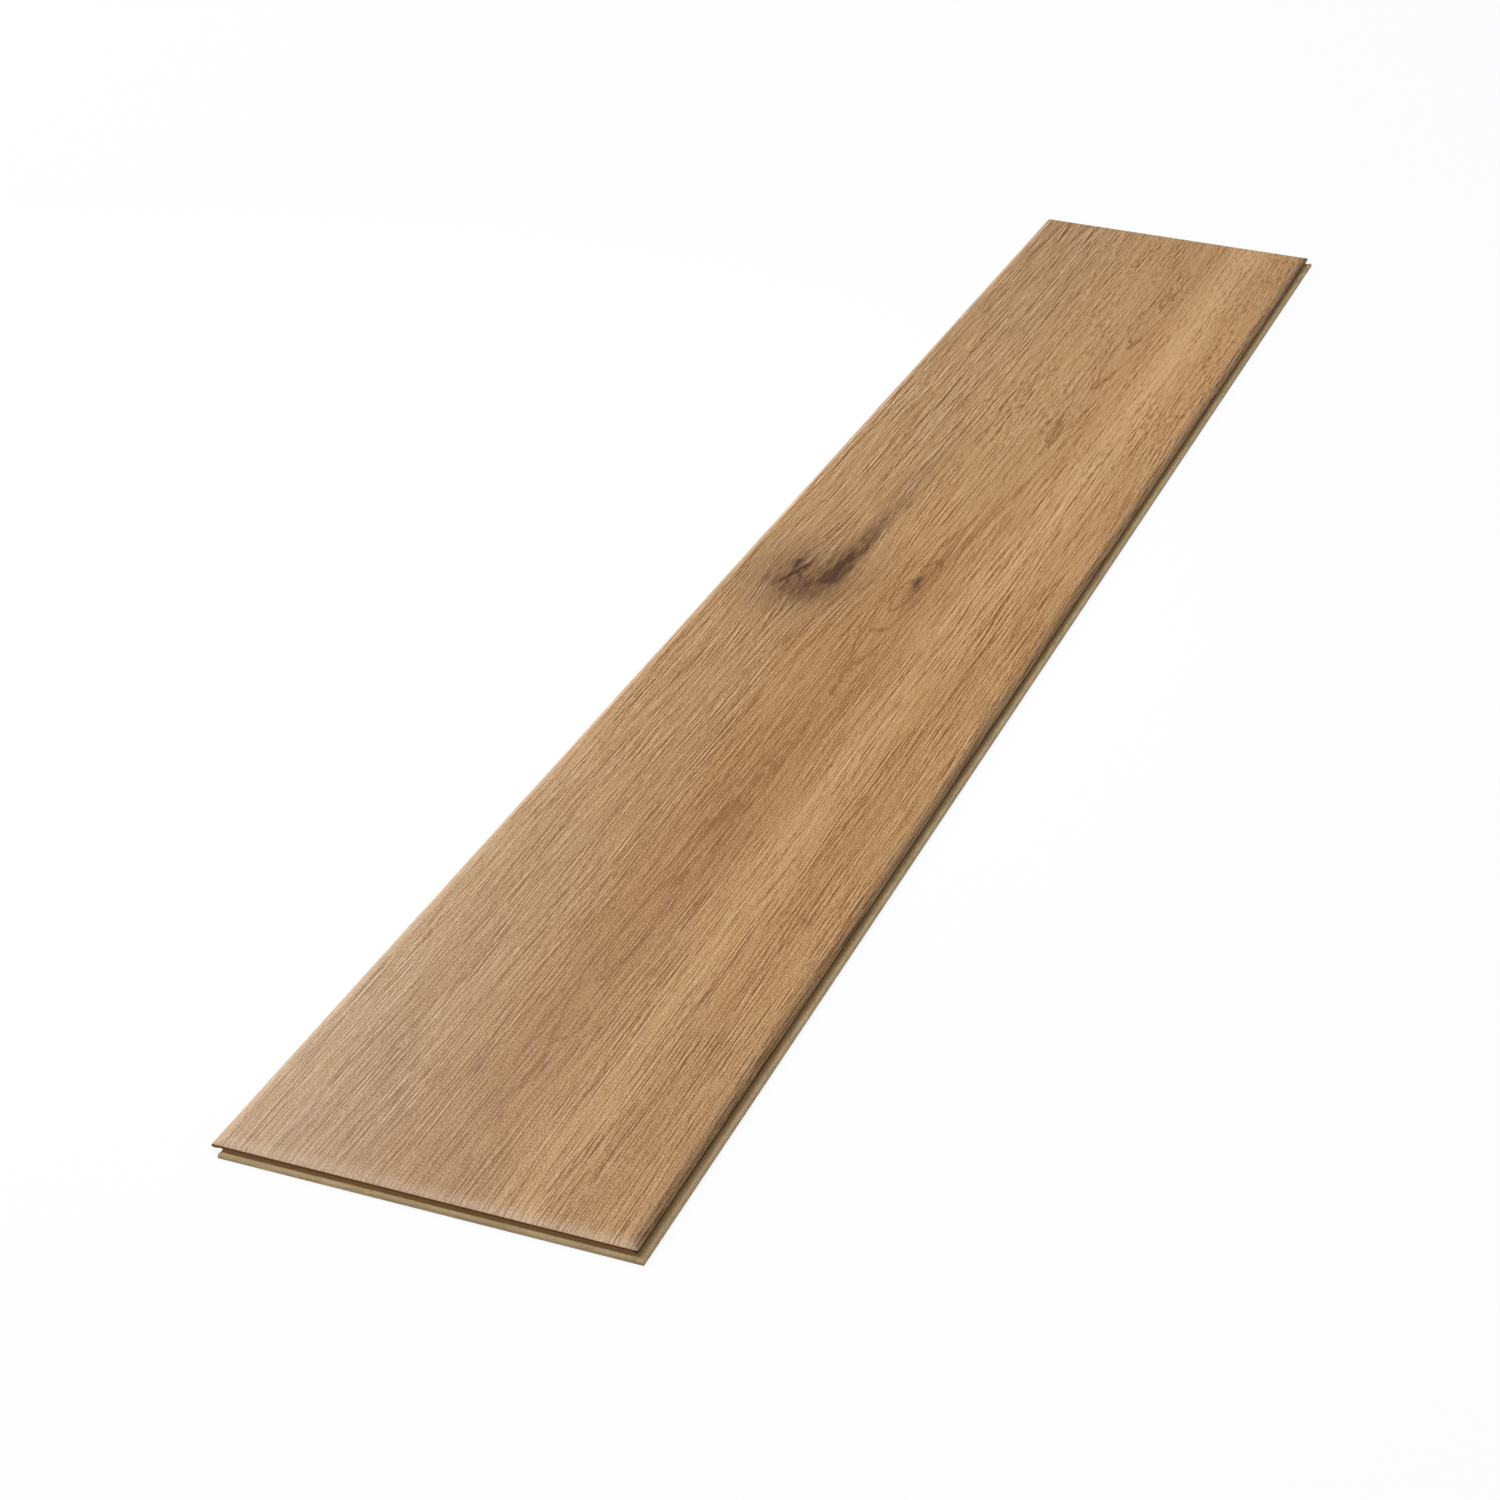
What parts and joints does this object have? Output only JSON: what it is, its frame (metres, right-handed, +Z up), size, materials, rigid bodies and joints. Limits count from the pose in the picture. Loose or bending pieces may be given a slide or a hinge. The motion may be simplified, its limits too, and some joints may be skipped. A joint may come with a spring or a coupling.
{
  "type": "resilient floor plank",
  "caption": "Thin wood-look floor plank with a rolled bevel round its face; tongues and grooved locking lips along the edges click it to its neighbours.",
  "frame": {"origin": "on the underside, below the middle of the face between the four joint planes", "axes": "+X across the width towards the long edge with the lip, +Y along the length towards the short edge with the tongue, +Z up out of the wear face"},
  "size_m": [0.1981, 1.2963, 0.0055],
  "materials": {
    "board": "matt embossed"
  },
  "bodies": {
    "root": {"plank": "board"}
  },
  "joints": []
}
